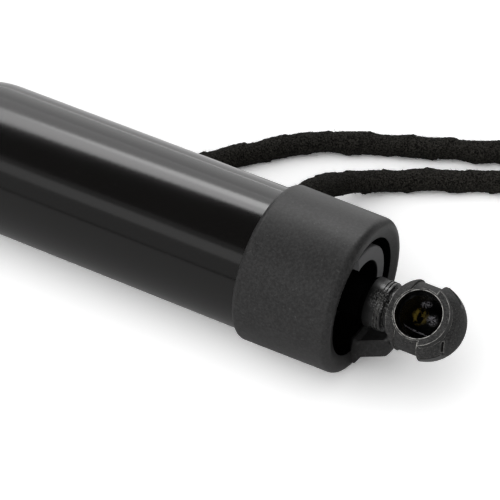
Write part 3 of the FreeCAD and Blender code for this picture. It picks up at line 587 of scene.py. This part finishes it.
# MOTOR
# A brushed motor in a drawn steel can, with its magnets glued in. The armature is stacked, wound and
# pressed on the shaft, and a moulded holder carries the brushes and the sensor board.
def bare(name, dark, light, dull, gloss, metal=0.0, patch=90.0, fine=1500.0):
    """A mottled finish of two tones and two roughnesses, with a fine surface."""
    material, tree, shader = painted(name)
    rub = placed(tree, rubbing, Patch_Scale=patch, Speck_Scale=patch * 20)
    tone = blended(tree, rub["Patches"], dark, light)
    feed(tree, blended(tree, rub["Specks"], tone, light), shader["Base Color"])
    feed(tree, between(tree, rub["Patches"], gloss, dull), shader["Roughness"])
    feed(tree, metal, shader["Metallic"])
    feed(tree, bump(tree, grain(tree, fine), 0.02, 0.4), shader["Normal"])
    return material


machined_steel = bare("machined_steel", (0.42, 0.42, 0.42), (0.55, 0.55, 0.56), 0.38, 0.22, metal=1.0)
bronze = bare("oiled_bronze", (0.33, 0.21, 0.08), (0.48, 0.33, 0.14), 0.5, 0.35, metal=1.0)
copper = bare(
    "enamelled_copper", (0.36, 0.13, 0.05), (0.55, 0.24, 0.11), 0.4, 0.25, 1.0, patch=200.0, fine=900.0)
carbon = bare("pressed_carbon", (0.016, 0.016, 0.016), (0.035, 0.035, 0.035), 0.7, 0.5)
ferrite = bare("sintered_ferrite", (0.035, 0.035, 0.037), (0.055, 0.055, 0.057), 0.6, 0.45)
circuit = bare("green_circuit_board", (0.008, 0.070, 0.024), (0.016, 0.105, 0.040), 0.4, 0.25)
rubber = bare("black_rubber", (0.009, 0.009, 0.009), (0.018, 0.018, 0.018), 0.75, 0.55)

black_plastic, tree, shader = painted("black_moulded_plastic")
rub = placed(tree, rubbing, Patch_Scale=80.0)
moulded_black = blended(tree, rub["Patches"], (0.006, 0.006, 0.006), (0.010, 0.010, 0.010))
feed(tree, moulded_black, shader["Base Color"])
feed(tree, 0.55, shader["Roughness"])

dress(("motor_can", "motor_shaft", "armature_core"), machined_steel)
dress(("rear_motor_bush", "front_motor_bush"), bronze)
dress(("armature_windings", "commutator"), copper)
dress(("motor_brushes",), carbon)
dress(("motor_magnets", "sensor_magnet"), ferrite)
dress(("sensor_board",), circuit)
dress(("isolator_ring",), rubber)
dress(("brush_holder",), black_plastic)

# PLANETARY GEAR
# Sun, ring and carrier are sintered steel, and three moulded plastic planets run quietly between
# them. A steel plate closes the gear towards the motor.
sintered_steel = bare(
    "sintered_gear_steel", (0.16, 0.16, 0.165), (0.24, 0.235, 0.23), 0.6, 0.42, metal=1.0, patch=140.0)
gear_plastic = bare("natural_gear_plastic", (0.62, 0.60, 0.53), (0.72, 0.70, 0.64), 0.5, 0.38)
dress(("sun_gear", "ring_gear", "planet_carrier"), sintered_steel)
dress(("planet_gear_1", "planet_gear_2", "planet_gear_3"), gear_plastic)
dress(("gearbox_plate",), machined_steel)

# BEARING AND SPINDLE
# A ball bearing in a die-cast carrier takes the load of the steel spindle. A moulded nut runs on the
# spindle, a plastic bush guides its tip, and a steel ring seats the lift spring.
aluminium = bare("die_cast_aluminium", (0.50, 0.50, 0.51), (0.62, 0.62, 0.63), 0.55, 0.35, metal=1.0)
dress(("bearing_carrier",), aluminium)
dress(("bearing_outer_race", "bearing_inner_race", "bearing_balls"), machined_steel)
dress(("spring_seat", "spindle"), machined_steel)
dress(("spindle_nut",), gear_plastic)
dress(("spindle_tip_bush",), black_plastic)

# LIFT SPRING
# A compression spring of round wire, wound open and coated black. It stands between the spring seat
# and the nut's flange, so it gets longer as the push tube moves out.
spring_start = 150.375
spring_end = 214.375
spring_turns = 18
wire_r = 1.3
wire_way_r = 11.6
end_gap = 0.3


def lift_spring_wire(around=12, per_turn=36):
    first = spring_start + wire_r + end_gap
    last = spring_end - wire_r - end_gap
    steps = spring_turns * per_turn
    rise = (last - first) / (2 * math.pi * spring_turns)
    slope = math.atan2(rise, wire_way_r)
    points = []
    for k in range(steps + 1):
        turn = 2 * math.pi * k / per_turn
        out = Vector((0, math.cos(turn), math.sin(turn)))
        flat = math.cos(slope)
        ahead = Vector((math.sin(slope), -flat * math.sin(turn), flat * math.cos(turn)))
        across = ahead.cross(out)
        middle = Vector((first + rise * turn, 0, 0)) + out * wire_way_r
        for i in range(around):
            angle = 2 * math.pi * i / around
            points.append(middle + (out * math.cos(angle) + across * math.sin(angle)) * wire_r)
    faces = [tuple(range(around)), tuple(range(steps * around + around - 1, steps * around - 1, -1))]
    for k in range(steps):
        for i in range(around):
            j = (i + 1) % around
            faces.append((k * around + i, (k + 1) * around + i, (k + 1) * around + j, k * around + j))
    return smooth_mesh("wound_lift_spring", points, faces)


spring_wire = bare("black_coated_spring_wire", (0.010, 0.010, 0.011), (0.022, 0.022, 0.023), 0.42, 0.28)
dress(("lift_spring",), spring_wire)
wound_spring = lift_spring_wire()
wound_spring.data.materials.append(spring_wire)
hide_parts("lift_spring")
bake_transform(wound_spring)

# PUSH TUBE
# The slimmer satin black steel tube that slides out through a rubber wiper and the moulded mouth
# cap. A plastic bush guides its inner end, and a plug in its outer end holds the second socket.
satin = bare(
    "satin_black_enamel", (0.005, 0.005, 0.0055), (0.011, 0.011, 0.012), 0.3, 0.2, patch=40.0, fine=2200.0)
dress(("push_tube",), satin)
dress(("guide_bush", "rod_end_plug"), black_plastic)
dress(("wiper_seal",), rubber)
dress(("mouth_cap",), cap_plastic)

# CABLE
# Wires wound tightly in black fleece tape, which leaves the housing through a rubber grommet, lies
# on the floor and ends in a plug connector with a red lock.
cable_d = 5.8
floor_z = -19.9
cable_z = floor_z + cable_d / 2
cable_points = [
    (50.0, -26.41, -5.614),
    (50.0, -36.0, -7.652),
    (44.0, -52.5, cable_z),
    (26.5, -63.0, cable_z),
    (2.5, -75.2, cable_z),
    (-17.6, -63.9, cable_z),
    (-39.1, -75.1, cable_z),
    (-41.3, -99.2, cable_z),
    (-22.5, -114.3, cable_z),
    (0.5, -106.6, cable_z),
    (6.4, -84.4, cable_z),
    (26.5, -76.0, cable_z),
    (45.0, -68.0, cable_z),
    (64.0, -59.5, cable_z),
    (77.0, -45.0, cable_z),
    (92.0, -29.0, cable_z),
    (112.0, -23.0, cable_z),
    (133.0, -24.0, cable_z),
    (153.0, -24.0, cable_z),
]
curve_steps = 60
ring_step = 0.45
tape_swell = 0.1
tape_pitch = 11.0
tape_step = 0.45
tape_lump = 0.50
lump_scale = 0.16
lump_shift = Vector((3.1, 0, 0))
tape_felt = 0.20
felt_scale = 1.9
fibre_count = 9300
fibre_length = 1.6
fibre_r = 0.032
fibre_root_depth = 0.15
fleece_shade = (0.0006, 0.0005, 0.0004)
fleece_light = (0.037, 0.0348, 0.0296)
fleece_speck = (0.10, 0.094, 0.080)


def cable_line():
    """Evenly spaced points along the smooth line through the chosen ones."""
    places = [Vector(p) for p in cable_points]
    fine = []
    start = places[0]
    for i in range(1, len(places) - 1):
        end = places[-1] if i == len(places) - 2 else (places[i] + places[i + 1]) / 2
        for k in range(curve_steps):
            t = k / curve_steps
            fine.append(start * (1 - t) ** 2 + places[i] * 2 * t * (1 - t) + end * t * t)
        start = end
    fine.append(places[-1])
    length = sum((b - a).length for a, b in zip(fine, fine[1:]))
    count = round(length / ring_step)
    line = [fine[0]]
    gone = 0.0
    for a, b in zip(fine, fine[1:]):
        span = (b - a).length
        while len(line) < count and gone + span >= len(line) * length / count:
            line.append(a.lerp(b, (len(line) * length / count - gone) / span))
        gone += span
    line.append(fine[-1])
    return line


def fibres(points, faces, line, radius):
    """Short loose fibres of the fleece, each a thin bent spike rooted in the tape."""
    chance = random.Random(7)
    for _ in range(fibre_count):
        k = chance.randrange(2, len(line) - 2)
        ahead = (line[k + 1] - line[k - 1]).normalized()
        out = Vector([chance.gauss(0, 1) for _ in range(3)])
        out = (out - ahead * out.dot(ahead)).normalized()
        lean = Vector([chance.gauss(0, 1) for _ in range(3)]).normalized()
        length = fibre_length * chance.uniform(0.4, 1.0)
        root = line[k] + out * (radius - fibre_root_depth)
        bend = root + (out * 0.65 + lean * 0.6) * length * 0.5
        tip = bend + (out * 0.3 + lean).normalized() * length * 0.6
        if tip.z < floor_z:
            continue
        first = len(points)
        side = ahead.cross(out)
        for middle, thick in ((root, fibre_r), (bend, fibre_r * 0.7)):
            for i in range(3):
                angle = 2 * math.pi * i / 3
                points.append(middle + (ahead * math.cos(angle) + side * math.sin(angle)) * thick)
        points.append(tip)
        faces.append((first + 2, first + 1, first))
        for i in range(3):
            j = (i + 1) % 3
            faces.append((first + i, first + j, first + 3 + j, first + 3 + i))
            faces.append((first + 3 + i, first + 3 + j, first + 6))


def taped_tube(name, line, radius, around=64):
    """The wound tape as one closed tube: overlapping turns, soft lumps and a felted surface."""
    points = []
    faces = []
    side = Vector((0, 0, 1))
    gone = 0.0
    count = len(line)
    for k in range(count):
        ahead = (line[min(k + 1, count - 1)] - line[max(k - 1, 0)]).normalized()
        side = (side - ahead * side.dot(ahead)).normalized()
        third = ahead.cross(side)
        if k:
            gone += (line[k] - line[k - 1]).length
        for i in range(around):
            angle = 2 * math.pi * i / around
            out = side * math.cos(angle) + third * math.sin(angle)
            place = line[k] + out * radius
            turn = (gone / tape_pitch + angle / (2 * math.pi)) % 1.0
            overlap = tape_step * (1 - turn) ** 3
            lump = tape_lump * noise.noise(place * lump_scale + lump_shift)
            felt = tape_felt * noise.fractal(place * felt_scale, 0.7, 2.1, 4)
            points.append(line[k] + out * (radius - tape_step / 2 + overlap + lump + felt))
    for k in range(count - 1):
        for i in range(around):
            j = (i + 1) % around
            faces.append((k * around + i, k * around + j, (k + 1) * around + j, (k + 1) * around + i))
    faces.append(tuple(reversed(range(around))))
    faces.append(tuple(range((count - 1) * around, count * around)))
    fibres(points, faces, line, radius)
    return smooth_mesh(name, points, faces, 80.0)


fleece, tree, shader = painted("black_fleece_tape")
rub = placed(tree, rubbing, Speck_Scale=2600.0)
pile = levels(tree, grain(tree, 2300.0, 4.0, 0.75), 0.42, 0.60)
felted = blended(tree, pile, fleece_shade, fleece_light)
feed(tree, blended(tree, rub["Specks"], felted, fleece_speck), shader["Base Color"])
feed(tree, 0.95, shader["Roughness"])
feed(tree, 0.12, shader["Specular IOR Level"])
feed(tree, bump(tree, grain(tree, 1900.0, 4.0, 0.7), 0.5, 1.0), shader["Normal"])

tape_line = cable_line()
cable = taped_tube("taped_cable", tape_line, cable_d / 2 + tape_swell)
cable.data.materials.append(fleece)
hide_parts("cable")
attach(cable, "housing")

lock_plastic = bare("red_lock_plastic", (0.30, 0.028, 0.022), (0.38, 0.045, 0.035), 0.5, 0.38)
dress(("cable_grommet",), rubber)
dress(("connector_body",), black_plastic)
dress(("connector_lock",), lock_plastic)

# WHITE SHEET
# The studio's floor. It is paper white to the camera and less so to the strut, and its near part is
# painted darker in the gloss than the part far behind: painted shade of the strut in the reflections.
sheet_reach = 6.0
sheet_shade = (0.62, 0.62, 0.62)
# Painted shade: the near floor's colour as the gloss sees it.
sheet_near_gloss_painted_shade = (0.50, 0.50, 0.50)
sheet_far_gloss = (0.98, 0.98, 0.98)
sheet_gain = (0.69, 0.69, 0.69)
sheet_lift = 0.06
near_gloss_shade_to = (-22.0, -60.0)

sheet_corners = [
    (x * sheet_reach, y * sheet_reach, floor_z * mm)
    for x, y in ((-1, -1), (1, -1), (1, 1), (-1, 1))
]
sheet_mesh = bpy.data.meshes.new("white_sheet")
sheet_mesh.from_pydata(sheet_corners, [], [(0, 1, 2, 3)])
white_sheet = bpy.data.objects.new("white_sheet", sheet_mesh)
bpy.context.scene.collection.objects.link(white_sheet)

sheet_paper, tree, shader = painted("white_paper")
rays = add(tree, "ShaderNodeLightPath").outputs
parts = add(tree, "ShaderNodeSeparateXYZ")
feed(tree, place_of(tree), parts.inputs["Vector"])
behind = past(tree, parts.outputs["Y"], near_gloss_shade_to)
# The near floor's colour in the gloss is darker: painted shade.
glossy = blended(tree, behind, sheet_near_gloss_painted_shade, sheet_far_gloss)
feed(tree, blended(tree, rays["Is Glossy Ray"], sheet_shade, glossy), shader["Base Color"])
feed(tree, 0.9, shader["Roughness"])
feed(tree, 0.0, shader["Specular IOR Level"])
to_camera = add(tree, "ShaderNodeBsdfDiffuse")
feed(tree, blended(tree, rays["Is Camera Ray"], (0, 0, 0), sheet_gain), to_camera.inputs["Color"])
glow = add(tree, "ShaderNodeEmission")
feed(tree, between(tree, rays["Is Camera Ray"], 0.0, sheet_lift), glow.inputs["Strength"])
paper = add(tree, "ShaderNodeAddShader")
feed(tree, tree.nodes["Principled BSDF"].outputs["BSDF"], paper.inputs[0])
feed(tree, to_camera.outputs["BSDF"], paper.inputs[1])
lifted = add(tree, "ShaderNodeAddShader")
feed(tree, paper.outputs["Shader"], lifted.inputs[0])
feed(tree, glow.outputs["Emission"], lifted.inputs[1])
feed(tree, lifted.outputs["Shader"], tree.nodes["Material Output"].inputs["Surface"])
sheet_mesh.materials.append(sheet_paper)

# LAMPS
# A softbox behind and above the strut, set askew, with paler cards round it and low in front. They
# only show in the gloss, as the bands along the tube.
lamps_x = 0.6


def card(name, turn, distance, spread, width, radiance, tilt=0.0):
    """A lamp round the strut's axis; the turn is counted from the camera's side over the top."""
    angle = math.radians(turn)
    height = 2 * distance * math.tan(math.radians(spread / 2))
    lamp = bpy.data.lights.new(name, "AREA")
    lamp.shape = "RECTANGLE"
    lamp.size = width
    lamp.size_y = height
    lamp.energy = radiance * math.pi * width * height
    made = bpy.data.objects.new(name, lamp)
    out = Vector((0, math.cos(angle), math.sin(angle)))
    side = Matrix.Rotation(math.radians(tilt), 3, out) @ Vector((1, 0, 0))
    rise = out.cross(side)
    place = Vector((lamps_x, 0, 0)) + out * distance
    made.matrix_world = Matrix((
        (side.x, rise.x, out.x, place.x),
        (side.y, rise.y, out.y, place.y),
        (side.z, rise.z, out.z, place.z),
        (0, 0, 0, 1),
    ))
    made.visible_camera = False
    made.visible_diffuse = False
    bpy.context.scene.collection.objects.link(made)


card("softbox", 115.0, 1.1, 16.5, 1.5, 5.4, 45.0)
card("softbox_skirt", 134.0, 1.3, 25.0, 1.6, 1.9)
card("back_card", 161.0, 1.6, 30.0, 2.0, 1.45)
card("horizon_card", 180.0, 1.6, 6.0, 2.0, 2.2)
card("front_card", 34.5, 1.6, 15.0, 2.0, 0.88)
card("front_card_edge", 46.0, 1.6, 8.0, 2.0, 0.22)
card("low_front_card", 14.5, 1.7, 25.0, 2.0, 0.33)

# ROOM
# A wide white sky that lights the strut, more from the camera's side and the far end than from
# behind. It is white to the camera and nearly dark in the gloss.
room_side = (0.6, 0.8, 0)
room_white = (1, 1, 1)
room_in_gloss = (0.07, 0.07, 0.07)

world = bpy.data.worlds.new("studio")
bpy.context.scene.world = world
world.use_nodes = True
tree = world.node_tree
sky = tree.nodes["Background"]
sideways = add(tree, "ShaderNodeVectorMath", operation="DOT_PRODUCT")
feed(tree, add(tree, "ShaderNodeTexCoord").outputs["Generated"], sideways.inputs[0])
feed(tree, room_side, sideways.inputs[1])
share = levels(tree, sideways.outputs["Value"], -1.0, 1.0)
feed(tree, room_white, sky.inputs["Color"])
feed(tree, between(tree, share, 0.0, 2.0), sky.inputs["Strength"])
dim = add(tree, "ShaderNodeBackground")
feed(tree, room_in_gloss, dim.inputs["Color"])
backdrop = add(tree, "ShaderNodeBackground")
feed(tree, room_white, backdrop.inputs["Color"])
rays = add(tree, "ShaderNodeLightPath").outputs
lit = add(tree, "ShaderNodeMixShader")
feed(tree, rays["Is Glossy Ray"], lit.inputs["Fac"])
feed(tree, sky.outputs["Background"], lit.inputs[1])
feed(tree, dim.outputs["Background"], lit.inputs[2])
seen = add(tree, "ShaderNodeMixShader")
feed(tree, rays["Is Camera Ray"], seen.inputs["Fac"])
feed(tree, lit.outputs["Shader"], seen.inputs[1])
feed(tree, backdrop.outputs["Background"], seen.inputs[2])
feed(tree, seen.outputs["Shader"], tree.nodes["World Output"].inputs["Surface"])

# CAMERA
# A long lens, 0.66 m away and 44 degrees above, that looks at the socket's end of the strut with
# the tube running out of the picture on the left.
camera_place = (-0.188844, 0.424535, 0.470883)
camera_back = (-0.35, 0.628, 0.695)
camera_right = (-0.8735, -0.4868, 0.0)

scene = bpy.context.scene
scene.view_settings.view_transform = "Standard"
lens = bpy.data.cameras.new("camera")
lens.sensor_width = 36.0
lens.lens = 201.6
lens.clip_start = 0.02
lens.clip_end = 30.0
camera = bpy.data.objects.new("camera", lens)
scene.collection.objects.link(camera)
back = Vector(camera_back).normalized()
up = back.cross(Vector(camera_right)).normalized()
right = up.cross(back).normalized()
camera.matrix_world = Matrix((
    (right.x, up.x, back.x, camera_place[0]),
    (right.y, up.y, back.y, camera_place[1]),
    (right.z, up.z, back.z, camera_place[2]),
    (0, 0, 0, 1),
))
scene.camera = camera
